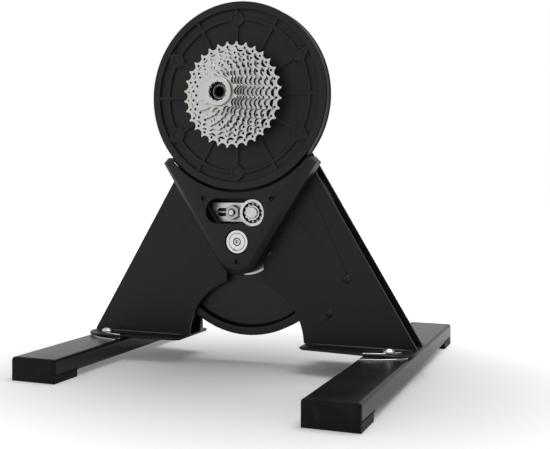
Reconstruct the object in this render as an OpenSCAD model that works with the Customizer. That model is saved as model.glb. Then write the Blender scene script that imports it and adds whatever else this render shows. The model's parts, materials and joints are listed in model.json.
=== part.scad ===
// Direct drive bike trainer: a steel A-frame on two swivelling feet carries a hub with a
// cassette, a large belt pulley, and a flywheel with an eddy current brake below it.
// X runs along the bike with the front at +X, the cassette side is -Y, and Z is up.
// The origin is on the floor, midway between the feet.

/* [Frame] */
// Height of the hub axle above the floor
axle_z = 347.5; // [335:0.5:360]
// Height of the flywheel shaft above the floor
shaft_z = 162; // [158:0.5:166]
// Thickness of each A-frame plate
plate_t = 4; // [3:0.5:5]
// Free distance between the two A-frame plates
plate_gap = 28; // [27:0.5:32]
// Y of the outer face of the front plate
frame_front_y = 0.5; // [-2:0.5:3]
// Half width of the A-frame where it stands on the base plates
frame_half_w = 227; // [222:1:232]
// Radius of the rounded top of the A-frame, round the axle
apex_r = 33; // [29:1:38]
// Radius of the arch under the flywheel
arch_r = 81; // [70:1:90]
// Half width of the slot that leads from the arch up to the flywheel shaft
slot_half_w = 26; // [24.5:0.5:28]
// Distance from the shaft to the spacers that join the plates
spacer_reach = 145; // [140:1:150]
// Outer radius of a frame spacer
spacer_r = 8; // [6:0.5:9]
// Radius of the frame bolts
frame_bolt_r = 3; // [2.5:0.5:3.5]

/* [Base plates] */
// Thickness of a base plate
base_t = 3; // [2.5:0.5:5]
// How far a base plate stands out past the A-frame plates, front and back
base_overhang = 28.5; // [26:0.5:30]
// X of the inner end of a base plate
base_inner_x = 83; // [82:0.5:90]
// Half width of a base plate where it lies over the foot, from the pivot
base_end_half = 54.5; // [54:0.5:58]
// X of the outer end of the base plates
base_end_x = 227.5; // [224:0.5:229]
// Size of the cut inner corners of a base plate
base_corner = 6; // [4:1:12]

/* [Feet] */
// Distance of each foot bar from the middle, along X
foot_x = 194.5; // [190:0.5:198]
// Width of a foot bar
foot_w = 60.5; // [58:0.5:60.5]
// Height of the tube of a foot bar
foot_tube_h = 21.4; // [18:0.2:28]
// Wall of the foot tube
foot_wall = 1.5; // [1.2:0.1:1.6]
// Edge radius of the foot tube
foot_edge_r = 4; // [3:0.5:6]
// Height of the rubber pads under the feet
foot_pad_h = 7.5; // [7:0.5:12]
// Length of each rubber pad
foot_pad_len = 48; // [30:1:80]
// Length of the front foot
front_foot_len = 495; // [440:5:500]
// Length of the rear foot
rear_foot_len = 398; // [360:2:400]
// Y of the middle of the rear foot
rear_foot_y = 15; // [10:1:20]
// Thickness of the end cap's face
foot_cap_t = 3; // [2:0.5:5]
// How far the end cap's plug goes into the tube
foot_plug_len = 18; // [10:1:30]
// Distance of the swivel pivot from the middle of the foot, along X
pivot_inset = 27.5; // [27:0.1:28]
// Distance of each swivel pivot from the middle plane of the frame, along Y
pivot_stagger = 3.8; // [3.6:0.1:5]
// Radius of the pivot bolt
pivot_r = 4; // [3.5:0.1:4]
// Radius of the swivel pad on top of each foot
swivel_pad_r = 67.5; // [62:0.5:72]
// Thickness of the swivel pad
swivel_pad_t = 1.2; // [1:0.1:2]
// Distance of the lock bolts from the swivel pivot
lock_reach = 48.5; // [46:0.5:50]
// Width of the arc-shaped lock washers
lock_washer_w = 10.5; // [9:0.5:11]

/* [Hub and cassette] */
// Outer radius of the hub axle
axle_r = 8.5; // [8:0.5:8.5]
// Radius of the bore for the bike's through axle
axle_bore_r = 6.1; // [6:0.05:6.2]
// Y of the drive side end of the axle
axle_drive_y = -78; // [-79:0.5:-77]
// Y of the far end of the axle
axle_far_y = 55; // [52:0.5:60]
// Y of the front face of the largest sprocket
cassette_y = -40; // [-42:0.5:-39]
// Distance from one sprocket to the next
sprocket_pitch = 3.85; // [3.7:0.05:3.9]
// Thickness of a sprocket
sprocket_t = 1.8; // [1.6:0.1:2]
// Outer radius of the freehub body
freehub_r = 17.2; // [17:0.1:17.4]
// Radius of the opening in the lockring
lockring_bore_r = 11.3; // [11:0.1:12]

/* [Belt drive] */
// Outer radius of the big pulley's flanges
pulley_r = 119; // [117.8:0.2:120.2]
// Y of the front face of the big pulley
pulley_front_y = -27; // [-28:0.5:-26.5]
// Width of the big pulley
pulley_w = 22; // [21:0.5:22]
// Thickness of the front flange of the big pulley
pulley_flange_t = 2; // [1.5:0.1:2.5]
// Radius of the big pulley's belt seat
pulley_seat_r = 114.7; // [112:0.1:115.5]
// Radius of the small pulley's belt seat
small_seat_r = 12.2; // [11.8:0.1:13]
// Thickness of the belt
belt_t = 3; // [2.5:0.1:3.2]
// Width of the belt
belt_w = 13; // [10:0.5:13.2]
// Number of radial ribs on the big pulley
pulley_ribs = 12; // [6:1:18]
// Radius of the big pulley's ring rib
ring_rib_r = 97; // [90:1:102]
// Inner radius of the big pulley's rim
rim_in_r = 109.5; // [107:0.5:110.5]
// Radius of the round bosses on the big pulley
boss_r = 9.4; // [7:0.2:10]

/* [Idler and tensioner] */
// X of the idler's axis with the belt tight
idler_x = 18.6; // [18:0.1:18.7]
// Z of the idler's axis
idler_z = 199; // [197:0.5:200.5]
// Outer radius of the idler bearing
idler_r = 17; // [15:0.5:17]
// Radius of the idler's stud
idler_stud_r = 6; // [5:0.5:6.5]
// Height of the tensioner arm
arm_h = 25; // [22:0.5:26]
// Thickness of the tensioner arm
arm_t = 5; // [4.6:0.1:5.2]
// X of the left end of the tensioner arm
arm_left_x = -44; // [-46:0.5:-42]
// X of the clamp stud of the tensioner
clamp_x = -12; // [-13:0.5:-10]
// Radius of the clamp stud of the tensioner
clamp_r = 5; // [4:0.5:5]
// How far the tensioner slides to slacken the belt
tension_travel = 4; // [3:0.5:4]

/* [Flywheel] */
// Outer radius of the flywheel
flywheel_r = 124.3; // [118:0.1:126]
// Gap between the flywheel and each A-frame plate
flywheel_gap = 1.5; // [1:0.1:2]
// Width of the flywheel's front rim face
flywheel_lip = 10.3; // [6:0.1:14]
// Depth of the recess in the flywheel's front face
flywheel_recess = 6; // [6:0.5:8]
// Thickness of the flywheel's web
flywheel_web_t = 8; // [6:0.5:8]
// Inner radius of the flywheel's heavy rim
flywheel_rim_in_r = 92; // [88:1:96]
// Radius of the flywheel shaft
shaft_r = 8.5; // [8:0.5:8.5]

/* [Bearing carriers] */
// Radius of the bearing carrier's flange
carrier_r = 45; // [43:0.5:46]
// Thickness of the bearing carrier's flange
carrier_t = 5; // [4:0.5:5]
// Radius of the bearing carrier's boss
carrier_boss_r = 21.5; // [21:0.1:21.8]
// Radius of the circle of the carrier bolts
carrier_bolt_reach = 36; // [34:0.5:38]

/* [Belt cover] */
// Y of the front face of the belt cover
cover_front_y = -26.5; // [-27.5:0.5:-26]
// X of the middle of the belt cover
cover_x = -1.5; // [-2:0.1:2]
// Half width of the belt cover at its top corners
cover_half_w = 106; // [102:0.5:108]
// Height of the top corners of the belt cover
cover_corner_z = 263; // [260:0.5:266]
// Size of the cut top corners of the belt cover
cover_corner_cut = 7; // [5:0.5:9]
// Radius of the belt cover's lower tip
cover_tip_r = 30; // [28:0.5:34]
// Z of the middle of the belt cover's lower tip
cover_tip_z = 149; // [147:0.5:154]
// Size of the bevel round the belt cover's face
cover_bevel = 7; // [5:0.5:8]
// Wall of the belt cover
cover_wall = 2.5; // [2:0.1:3]
// Gap between the big pulley and the belt cover
cover_gap = 3.5; // [2:0.1:4]
// Length of the window in the belt cover
window_len = 80; // [76:0.5:84]
// Height of the window in the belt cover
window_h = 31.8; // [31:0.2:33]
// X of the middle of the window
window_x = -3.5; // [-5:0.5:-1]

/* [Brake and electronics] */
// Distance of the brake coils from the shaft
coil_reach = 62; // [58:1:66]
// Number of brake coils
coils = 8; // [4:1:10]
// Radius of a brake coil
coil_r = 11; // [8:0.5:12]
// Width of the control box
box_w = 96; // [90:1:110]
// Height of the control box
box_h = 62; // [56:1:64]
// Depth of the control box
box_d = 20; // [18:0.5:26]
// Z of the bottom of the control box
box_z = 236; // [232:1:240]
// Wall of the control box
box_wall = 2; // [1.6:0.1:2.5]

/* [Fits] */
// Clearance between parts that only pass each other
clearance = 0.3; // [0.2:0.05:0.4]
// Clearance of a running fit, on the radius
running = 0.05; // [0.03:0.01:0.08]

/* [Hidden] */
$fn = 96;
overlap = 1;

front_in_y = frame_front_y + plate_t;
back_in_y = front_in_y + plate_gap;
back_out_y = back_in_y + plate_t;
frame_mid_y = (frame_front_y + back_out_y) / 2;

foot_top_z = foot_pad_h + foot_tube_h;
swivel_top_z = foot_top_z + swivel_pad_t;
base_z = swivel_top_z + 0.2;
base_end_round = 28;
base_top_z = base_z + base_t;
pivot_x = foot_x - pivot_inset;
front_pivot_y = frame_mid_y - pivot_stagger;
rear_pivot_y = frame_mid_y + pivot_stagger;
pivot_head_r = pivot_r + 3;
pivot_head_h = 4;
pivot_nut_h = 3;
pivot_low_z = foot_top_z - pivot_nut_h - 1.5;
lock_r = 4;
lock_angle = 52;
lock_washer_t = 1.2;
lock_washer_in_r = lock_reach - lock_washer_w / 2 - 4;
lock_washer_near = asin(((back_out_y - frame_front_y) / 2 + pivot_stagger + 0.6) / lock_washer_in_r);
lock_washer_spread = [lock_washer_near, 88];

spacer_angles = [-18, -37.7];
bolt_head_r = frame_bolt_r * 1.7;
bolt_head_h = frame_bolt_r;

pulley_back_y = pulley_front_y + pulley_w;
belt_y = pulley_back_y - pulley_flange_t + 0.2 - belt_w / 2;
belt_front_y = belt_y - belt_w / 2;
belt_back_y = belt_y + belt_w / 2;
belt_steps = 80;
belt_small_steps = 12;
belt_in_big = pulley_seat_r + clearance;
belt_in_small = small_seat_r + clearance;
pulley_web_t = 4;
pulley_web_y = pulley_front_y + 3.7;
boss_recess_r = 6.4;
rib_w = 4;
rib_top_y = pulley_front_y + 1;
hub_r = 27;
hub_bearing_r = 15;
hub_bearing_w = 7;
hub_shell_end_y = cassette_y + 3;
ratchet_gap = 0.5;
axle_sleeve_r = axle_r * 1.41;
hub_sleeve_r = axle_r * 1.235;
freehub_shoulder_r = freehub_r * 1.28;

teeth = [32, 28, 25, 22, 20, 18, 16, 14, 13, 12, 11];
chain_pitch = 12.7;
tooth_tip = 1.9;
gullet_r = 5.64;
gullet_out = 2.54;
root_depth = gullet_r - gullet_out;
freehub_front_y = cassette_y - (len(teeth) - 1) * sprocket_pitch - sprocket_t / 2;
freehub_bore_r = 13;
freehub_bearing_w = 5;
lockring_t = 4.6;
sprocket_bore_r = freehub_r + running;
collar_r = 21;

shaft_front_y = belt_front_y - 2.5;
shaft_back_y = back_out_y + carrier_t + 1.5;
shaft_bearing_r = 17.5;
shaft_bearing_w = 10;
flywheel_front_y = front_in_y + flywheel_gap;
flywheel_back_y = back_in_y - flywheel_gap;
flywheel_web_y = flywheel_front_y + flywheel_recess;
flywheel_hub_r = 25;
front_bearing_y = front_in_y - shaft_bearing_w + 1.2;
rear_bearing_y = back_out_y + carrier_t - shaft_bearing_w;
carrier_boss_front_y = front_bearing_y - 0.5;
carrier_boss_back_y = rear_bearing_y - 1.5;
carrier_bolt_angle = 26;
carrier_bolt_angles = [for (side = [0, 180], sign = [-1, 1]) side + sign * carrier_bolt_angle];
cap_front_y = cover_front_y + 1;

arm_back_y = frame_front_y - 1.7;
arm_front_y = arm_back_y - arm_t;
arm_mid_y = (arm_front_y + arm_back_y) / 2;
idler_w = 10;
idler_front_y = belt_y - idler_w / 2 - 1;
idler_back_y = idler_front_y + idler_w;
idler_ball_r = 2.6;
idler_track_r = (idler_r + idler_stud_r) / 2;
idler_inner_r = idler_track_r - 2;
idler_outer_in_r = idler_track_r + 2;
idler_ball_count = 12;
slot_half_h = clamp_r + 0.2;
slot_left_x = clamp_x - clamp_r - 19.5;
slot_right_x = clamp_x + clamp_r + tension_travel + 1;
adjuster_r = 2;
clamp_nut_af = 17;
clamp_tip_r = 3.3;

coil_plate_y = back_in_y - 3;
coil_h = 5.5;
coil_plate_in_r = 34;
coil_plate_out_r = coil_reach + coil_r + 8;

cover_face_y = cover_front_y + cover_wall;
cover_bevel_y = cover_front_y + cover_bevel;
cover_boss_r = 3.5;
cover_lip_y = pulley_back_y + 1.5;
window_rise = 1.9;
cover_screw_r = 1.6;
cover_screw_x = 47;
cover_screw_z = 217;
cover_low_screw_z = shaft_z - 26;
cover_hole_r = 16.2;

// Point where the line from p touches the circle round c, on the side given by sign
function tangent_point(p, c, r, sign) =
    let (d = norm(p - c), a = atan2(p[1] - c[1], p[0] - c[0]), t = a - sign * acos(r / d))
    c + r * [cos(t), sin(t)];

// Pitch radius of a sprocket
function pitch_r(n) = chain_pitch / (2 * sin(180 / n));

// Outline of the teeth: round valleys for the chain rollers, joined by narrow tips
function tooth_points(n) = [
    for (i = [0 : n - 1])
        let (a = i * 360 / n, c = (pitch_r(n) + gullet_out) * [cos(a), sin(a)], mid = a + 180 / n)
        each concat(
            [for (s = [-75 : 25 : 75]) c + gullet_r * [cos(a + 180 - s), sin(a + 180 - s)]],
            [for (t = [mid - 18 / n, mid + 18 / n]) (pitch_r(n) + tooth_tip) * [cos(t), sin(t)]]
        )
];

// Cylinder along Y
module rod(r, y0, y1, x = 0, z = 0) {
    translate([x, y0, z]) rotate([-90, 0, 0]) cylinder(h = y1 - y0, r = r);
}

// Tube along Y
module tube(r_out, r_in, y0, y1, x = 0, z = 0) {
    difference() {
        rod(r_out, y0, y1, x, z);
        rod(r_in, y0 - overlap, y1 + overlap, x, z);
    }
}

// A drawing in X and Z, made solid from y0 to y1
module slab(y0, y1) {
    translate([0, y1, 0]) rotate([90, 0, 0]) linear_extrude(y1 - y0) children();
}

// Hexagonal prism along Y, with its size across the flats
module hex_along_y(af, y0, y1, x = 0, z = 0) {
    translate([x, y0, z]) rotate([-90, 0, 0]) cylinder(h = y1 - y0, r = af / sqrt(3), $fn = 6);
}

// Low domed head that points to -Y, with a hexagonal socket
module dome_head_y(r, h, y, x, z) {
    translate([x, y, z]) rotate([90, 0, 0]) dome_head(r, h);
}

// Low domed head that points up, with a hexagonal socket
module dome_head(r, h) {
    difference() {
        rotate_extrude() polygon([
            [0, 0], [r, 0], [r, h * 0.25], [r * 0.85, h * 0.6], [r * 0.55, h * 0.9], [r * 0.3, h], [0, h]
        ]);
        translate([0, 0, h * 0.45]) cylinder(h = h, r = r * 0.36, $fn = 6);
    }
}

// Rectangle with round corners, from its lower left corner
module round_rect(w, h, r) {
    translate([r, 0]) square([w - 2 * r, h]);
    translate([0, r]) square([w, h - 2 * r]);
    for (x = [r, w - r], y = [r, h - r]) translate([x, y]) circle(r);
}

// Bar with round ends between two points on one height
module stadium(x0, x1, z, r) {
    translate([x0 + r, z - r]) square([x1 - x0 - 2 * r, 2 * r]);
    for (x = [x0 + r, x1 - r]) translate([x, z]) circle(r);
}

// Places children at the frame spacers of one wing
module at_spacers(side) {
    for (a = spacer_angles)
        translate([side * spacer_reach * cos(a), 0, shaft_z + spacer_reach * sin(a)]) children();
}

// Outline of an A-frame plate, before its holes
module frame_outline() {
    foot = [frame_half_w, base_top_z];
    top = tangent_point(foot, [0, axle_z], apex_r, -1);
    side = (top - foot) / norm(top - foot);
    corner = 2;
    difference() {
        union() {
            polygon([
                foot - [corner, 0], foot + corner * side, top, [-top[0], top[1]],
                [-foot[0] - corner * side[0], foot[1] + corner * side[1]], [corner - foot[0], foot[1]]
            ]);
            translate([0, axle_z]) circle(apex_r);
        }
        translate([0, base_z]) circle(arch_r);
        translate([-slot_half_w, base_z]) square([2 * slot_half_w, shaft_z - base_z]);
        translate([0, shaft_z]) circle(slot_half_w);
        translate([0, axle_z]) circle(axle_r);
        for (a = carrier_bolt_angles)
            translate([carrier_bolt_reach * cos(a), shaft_z + carrier_bolt_reach * sin(a)])
                circle(frame_bolt_r);
    }
}

module front_plate() {
    color("#262626") difference() {
        slab(frame_front_y, front_in_y) frame_outline();
        at_spacers(1) rod(frame_bolt_r, frame_front_y - overlap, front_in_y + overlap);
        rod(clamp_r, frame_front_y - overlap, front_in_y + overlap, clamp_x, idler_z);
        for (side = [-1, 1])
            rod(cover_screw_r, frame_front_y - overlap, front_in_y + overlap,
                side * cover_screw_x, cover_screw_z);
    }
}

module back_plate() {
    color("#262626") difference() {
        slab(back_in_y, back_out_y) frame_outline();
        for (side = [-1, 1]) at_spacers(side) rod(frame_bolt_r, back_in_y - overlap, back_out_y + overlap);
    }
}

// Steel plate under the A-frame, with a round end over the pivot of one foot
module base_plate(side, pivot_y) {
    y0 = frame_front_y - base_overhang;
    y1 = back_out_y + base_overhang;
    c = base_corner;
    r = base_end_round;
    end_x = base_end_x - r;
    end_y = base_end_half - r;
    color("#222222") translate([0, 0, base_z]) linear_extrude(base_t) difference() {
        polygon([for (p = concat(
            [for (a = [-90 : 15 : 0]) [end_x + r * cos(a), pivot_y - end_y + r * sin(a)]],
            [for (a = [0 : 15 : 90]) [end_x + r * cos(a), pivot_y + end_y + r * sin(a)]],
            [[base_inner_x + c, y1], [base_inner_x, y1 - c], [base_inner_x, y0 + c], [base_inner_x + c, y0]]
        )) [side * p[0], p[1]]]);
        translate([side * pivot_x, pivot_y]) circle(pivot_r);
        for (a = [-lock_angle, lock_angle])
            translate([side * (pivot_x + lock_reach * cos(a)), pivot_y + lock_reach * sin(a)]) circle(lock_r);
    }
}

module front_base_plate() { base_plate(1, front_pivot_y); }

module rear_base_plate() { base_plate(-1, rear_pivot_y); }

module frame_spacers() {
    color("#303030") {
        at_spacers(1) tube(spacer_r, frame_bolt_r, front_in_y, back_in_y);
        at_spacers(-1) difference() {
            rod(spacer_r, front_in_y, back_in_y);
            rod(frame_bolt_r, front_in_y + plate_gap / 2, back_in_y + overlap);
        }
    }
}

// Bolts go right through the front wing, and from behind into blind spacers on the rear wing
module frame_bolts() {
    color("#1c1c1c") {
        at_spacers(1) union() {
            rod(frame_bolt_r, frame_front_y, back_out_y + bolt_head_h);
            dome_head_y(bolt_head_r, bolt_head_h, frame_front_y, 0, 0);
        }
        at_spacers(-1) union() {
            rod(frame_bolt_r, back_in_y - plate_gap / 2 + 1, back_out_y);
            mirror([0, 1, 0]) dome_head_y(bolt_head_r, bolt_head_h, -back_out_y, 0, 0);
        }
    }
}

module frame_bolt_nuts() {
    color("#3a3a3a") at_spacers(1) difference() {
        hex_along_y(frame_bolt_r * 3.4, back_out_y, back_out_y + bolt_head_h);
        rod(frame_bolt_r, back_out_y - overlap, back_out_y + bolt_head_h + overlap);
    }
}

// Outline of the belt cover, drawn smaller by inset
module cover_outline(inset) {
    tip = [0, cover_tip_z];
    r = cover_tip_r - inset;
    corner = [cover_half_w - inset * 1.1, cover_corner_z];
    touch = tangent_point(corner, tip, r, 1);
    cut = cover_corner_cut;
    translate([cover_x, 0]) polygon([
        corner + [-cut, cut - inset * 0.4], corner, touch, [-touch[0], touch[1]],
        [-corner[0], corner[1]], [cut - corner[0], corner[1] + cut - inset * 0.4]
    ]);
    translate(tip + [cover_x, 0]) circle(r, $fn = 32);
}

// Solid of the belt cover with a bevelled face, from the face back to y1
module cover_block(inset, y1) {
    hull() {
        slab(cover_bevel_y, y1) cover_outline(inset);
        slab(cover_front_y + inset, cover_bevel_y) cover_outline(cover_bevel);
    }
}

module belt_cover() {
    color("#282828") difference() {
        union() {
            difference() {
                cover_block(0, frame_front_y);
                cover_block(cover_wall, frame_front_y + overlap);
            }
            intersection() {
                slab(cover_lip_y, frame_front_y) cover_outline(0);
                tube(pulley_r + 11, pulley_r - 11, cover_lip_y, frame_front_y, 0, axle_z);
            }
            for (side = [-1, 1])
                rod(cover_boss_r, cover_face_y - 0.5, frame_front_y, side * cover_screw_x, cover_screw_z);
            rod(cover_boss_r, cover_face_y - 0.5, front_in_y, 0, cover_low_screw_z);
        }
        rod(pulley_r + cover_gap, cover_front_y - overlap, cover_lip_y, 0, axle_z);
        rod(pulley_r - 10, cover_lip_y - overlap, frame_front_y + overlap, 0, axle_z);
        slab(cover_front_y - overlap, cover_face_y + overlap)
            union() {
                stadium(window_x - window_len / 2, window_x + window_len / 2,
                    idler_z + window_rise, window_h / 2);
                translate([idler_x - 0.5, idler_z]) circle(idler_r + 1.8);
            }
        rod(cover_hole_r, cover_front_y - overlap, cover_face_y + overlap, 0, shaft_z);
        for (a = carrier_bolt_angles)
            rod(bolt_head_r + clearance, frame_front_y - bolt_head_h - clearance, frame_front_y + overlap,
                carrier_bolt_reach * cos(a), shaft_z + carrier_bolt_reach * sin(a));
        for (p = [[-cover_screw_x, cover_screw_z], [cover_screw_x, cover_screw_z], [0, cover_low_screw_z]]) {
            rod(cover_screw_r, cover_front_y - overlap, front_in_y + overlap, p[0], p[1]);
            rod(2.8, cover_front_y - overlap, cover_front_y + 3, p[0], p[1]);
        }
    }
}

module cover_screw(x, z, y1) {
    rod(cover_screw_r, cover_front_y + 3, y1, x, z);
    translate([x, cover_front_y + 3, z]) rotate([90, 0, 0]) dome_head(2.6, 2);
}

module cover_screws() {
    color("#151515") {
        for (side = [-1, 1]) cover_screw(side * cover_screw_x, cover_screw_z, front_in_y);
        cover_screw(0, cover_low_screw_z, front_in_y + 3);
    }
}

module hub_axle() {
    color("#2b2b2b") tube(axle_r, axle_bore_r, axle_drive_y, axle_far_y, 0, axle_z);
}

// Sleeves on the axle: between hub bearings and front plate, between the plates, in the hub
module axle_spacers() {
    color("#8a8a8a") {
        tube(axle_sleeve_r, axle_r, pulley_back_y, frame_front_y, 0, axle_z);
        tube(axle_sleeve_r, axle_r, front_in_y, back_in_y, 0, axle_z);
        tube(hub_sleeve_r, axle_r, pulley_front_y + hub_bearing_w, pulley_back_y - hub_bearing_w, 0, axle_z);
        tube(hub_sleeve_r, axle_r, hub_shell_end_y + 1, pulley_front_y, 0, axle_z);
        tube(hub_sleeve_r, axle_r, axle_drive_y + 2 + freehub_bearing_w,
            hub_shell_end_y + 1 - freehub_bearing_w, 0, axle_z);
    }
}

module axle_nut() {
    color("#9a9a9a") difference() {
        hex_along_y(27, back_out_y, back_out_y + 6, 0, axle_z);
        rod(axle_r, back_out_y - overlap, back_out_y + 6 + overlap, 0, axle_z);
    }
}

module axle_end_sleeve() {
    color("#1f1f1f") tube(axle_sleeve_r, axle_r, back_out_y + 6, axle_far_y - 1, 0, axle_z);
}

// Flanged carrier for a shaft bearing: the flange lies against a plate, the boss fills its slot
module bearing_carrier(flange_y, boss_y0, boss_y1, bearing_y, screw_hole) {
    difference() {
        union() {
            rod(carrier_r, flange_y, flange_y + carrier_t, 0, shaft_z);
            rod(carrier_boss_r, boss_y0, boss_y1, 0, shaft_z);
        }
        rod(shaft_bearing_r, bearing_y, bearing_y + shaft_bearing_w, 0, shaft_z);
        rod(shaft_r + 3, boss_y0 - 60, boss_y1 + 60, 0, shaft_z);
        for (a = carrier_bolt_angles)
            rod(frame_bolt_r, flange_y - overlap, flange_y + carrier_t + overlap,
                carrier_bolt_reach * cos(a), shaft_z + carrier_bolt_reach * sin(a));
        if (screw_hole)
            rod(cover_screw_r, flange_y - overlap, flange_y + carrier_t + overlap, 0, cover_low_screw_z);
    }
}

module front_bearing_carrier() {
    color("#c9c9c9") difference() {
        bearing_carrier(front_in_y, carrier_boss_front_y, front_in_y + carrier_t, front_bearing_y, true);
        rod(shaft_bearing_r, carrier_boss_front_y - overlap, front_bearing_y + overlap, 0, shaft_z);
    }
}

module rear_bearing_carrier() {
    color("#c9c9c9") difference() {
        bearing_carrier(back_out_y, carrier_boss_back_y, back_out_y + carrier_t, rear_bearing_y, false);
        rod(shaft_bearing_r, rear_bearing_y, back_out_y + carrier_t + overlap, 0, shaft_z);
    }
}

module carrier_bolts() {
    color("#1c1c1c") for (a = carrier_bolt_angles) {
        x = carrier_bolt_reach * cos(a);
        z = shaft_z + carrier_bolt_reach * sin(a);
        rod(frame_bolt_r, frame_front_y, front_in_y + carrier_t, x, z);
        dome_head_y(bolt_head_r, bolt_head_h, frame_front_y, x, z);
        rod(frame_bolt_r, back_in_y, back_out_y + carrier_t, x, z);
        mirror([0, 1, 0]) dome_head_y(bolt_head_r, bolt_head_h, -back_out_y - carrier_t, x, z);
    }
}

// Both shaft bearings, shown as closed rings that stay with the carriers
module shaft_bearings() {
    color("#777777") for (y = [front_bearing_y, rear_bearing_y])
        tube(shaft_bearing_r, shaft_r + running, y, y + shaft_bearing_w, 0, shaft_z);
}

module brake_plate() {
    color("#4a4a4a") tube(coil_plate_out_r, coil_plate_in_r, coil_plate_y, back_in_y, 0, shaft_z);
}

module brake_coils() {
    color("#b5651d") for (i = [0 : coils - 1])
        rod(coil_r, coil_plate_y - coil_h, coil_plate_y,
            coil_reach * cos(i * 360 / coils), shaft_z + coil_reach * sin(i * 360 / coils));
}

module control_box() {
    inlet_z = box_h / 2;
    color("#1d1d1d") difference() {
        slab(back_out_y, back_out_y + box_d - box_wall) translate([-box_w / 2, box_z])
            round_rect(box_w, box_h, 6);
        slab(back_out_y + box_wall, back_out_y + box_d) translate([box_wall - box_w / 2, box_z + box_wall])
            round_rect(box_w - 2 * box_wall, box_h - 2 * box_wall, 4);
        translate([-box_w / 2 - overlap, back_out_y + box_d / 2, box_z + inlet_z])
            rotate([0, 90, 0]) cylinder(h = box_wall + 2 * overlap, r = 5.5);
    }
}

module control_box_lid() {
    color("#222222") difference() {
        slab(back_out_y + box_d - box_wall, back_out_y + box_d) translate([-box_w / 2, box_z])
            round_rect(box_w, box_h, 6);
        at_lid_screws() rod(1.5, back_out_y + box_d - box_wall - overlap, back_out_y + box_d + overlap);
    }
}

module at_lid_screws() {
    inset = 7;
    for (x = [inset - box_w / 2, box_w / 2 - inset], z = [box_z + inset, box_z + box_h - inset])
        translate([x, 0, z]) children();
}

module lid_screws() {
    color("#101010") at_lid_screws() union() {
        rod(1.5, back_out_y + box_wall, back_out_y + box_d);
        mirror([0, 1, 0]) dome_head_y(2.8, 1.8, -back_out_y - box_d, 0, 0);
    }
}

module control_board() {
    stand = 3;
    color("#1f6b35") difference() {
        slab(back_out_y + box_wall + stand, back_out_y + box_wall + stand + 1.6)
            translate([20 - box_w / 2, box_z + 6]) square([box_w - 26, box_h - 12]);
        at_lid_screws() rod(1.5 + clearance, back_out_y, back_out_y + box_d);
    }
    color("#1f6b35") for (x = [28 - box_w / 2, box_w / 2 - 14], z = [box_z + 14, box_z + box_h - 14])
        rod(2, back_out_y + box_wall, back_out_y + box_wall + stand, x, z);
}

// Round socket for the power supply's plug, in the side of the control box
module power_inlet() {
    color("#0e0e0e") translate([-box_w / 2, back_out_y + box_d / 2, box_z + box_h / 2]) rotate([0, 90, 0])
    difference() {
        union() {
            translate([0, 0, -1.5]) cylinder(h = 1.5, r = 7);
            cylinder(h = 13, r = 5.5);
        }
        translate([0, 0, -1.5 - overlap]) cylinder(h = 11, r = 3.2);
    }
    color("#c0c0c0") translate([-box_w / 2 - 1, back_out_y + box_d / 2, box_z + box_h / 2])
        rotate([0, 90, 0]) cylinder(h = 10, r = 1);
}

// Region inside a belt line that runs round both pulleys, as a polygon with even steps round each
module belt_region(r_big, r_small) {
    tilt = asin((r_big - r_small) / (axle_z - shaft_z));
    step = (180 + 2 * tilt) / belt_steps;
    small_step = (180 - 2 * tilt) / belt_small_steps;
    polygon(concat(
        [for (i = [0 : belt_steps]) [0, axle_z] + r_big * [cos(i * step - tilt), sin(i * step - tilt)]],
        [for (i = [0 : belt_small_steps])
            let (a = 180 + tilt + i * small_step) [0, shaft_z] + r_small * [cos(a), sin(a)]]
    ));
}

module belt() {
    color("#2e2e2e") difference() {
        slab(belt_front_y, belt_back_y) belt_region(belt_in_big + belt_t, belt_in_small + belt_t);
        slab(belt_front_y - overlap, belt_back_y + overlap) belt_region(belt_in_big, belt_in_small);
    }
}

// Steel pad on the front plate on which the tensioner arm slides
module tensioner_pad() {
    color("#5a5a5a") difference() {
        slab(arm_back_y, frame_front_y) stadium(-32, 12, idler_z, 9);
        rod(clamp_r, arm_back_y - overlap, frame_front_y + overlap, clamp_x, idler_z);
    }
}

// Stud set into the front plate and its pad, on which the tensioner arm is clamped
module clamp_stud() {
    color("#b8b8b8") {
        rod(clamp_r, arm_front_y - 5.5, front_in_y, clamp_x, idler_z);
        rod(clamp_tip_r, arm_front_y - 11, arm_front_y - 5.5, clamp_x, idler_z);
    }
}

module clamp_nut() {
    color("#c4c4c4") difference() {
        translate([clamp_x, 0, idler_z]) rotate([0, 30, 0])
            hex_along_y(clamp_nut_af, arm_front_y - 8, arm_front_y);
        rod(clamp_r, arm_front_y - 9, arm_front_y + overlap, clamp_x, idler_z);
    }
}

module pivot_bolts() {
    color("#6f6f6f") for (p = [[pivot_x, front_pivot_y, 0], [-pivot_x, rear_pivot_y, 0]]) translate(p) {
        translate([0, 0, pivot_low_z]) cylinder(h = base_top_z - pivot_low_z, r = pivot_r);
        translate([0, 0, base_top_z]) dome_head(pivot_head_r, pivot_head_h);
    }
}

module pivot_nuts() {
    color("#6f6f6f") for (p = [[pivot_x, front_pivot_y], [-pivot_x, rear_pivot_y]])
        translate([p[0], p[1], foot_top_z - running - pivot_nut_h]) difference() {
            cylinder(h = pivot_nut_h, r = pivot_r * 1.6, $fn = 6);
            translate([0, 0, -overlap]) cylinder(h = pivot_nut_h + 2 * overlap, r = pivot_r);
        }
}

// Places children at both lock bolts of one foot, with +X pointing away from the pivot
module at_lock_bolts() {
    for (foot = [[1, front_pivot_y], [-1, rear_pivot_y]], a = [-lock_angle, lock_angle])
        translate([foot[0] * pivot_x, foot[1], 0]) rotate(foot[0] > 0 ? a : 180 - a) children();
}

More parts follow.
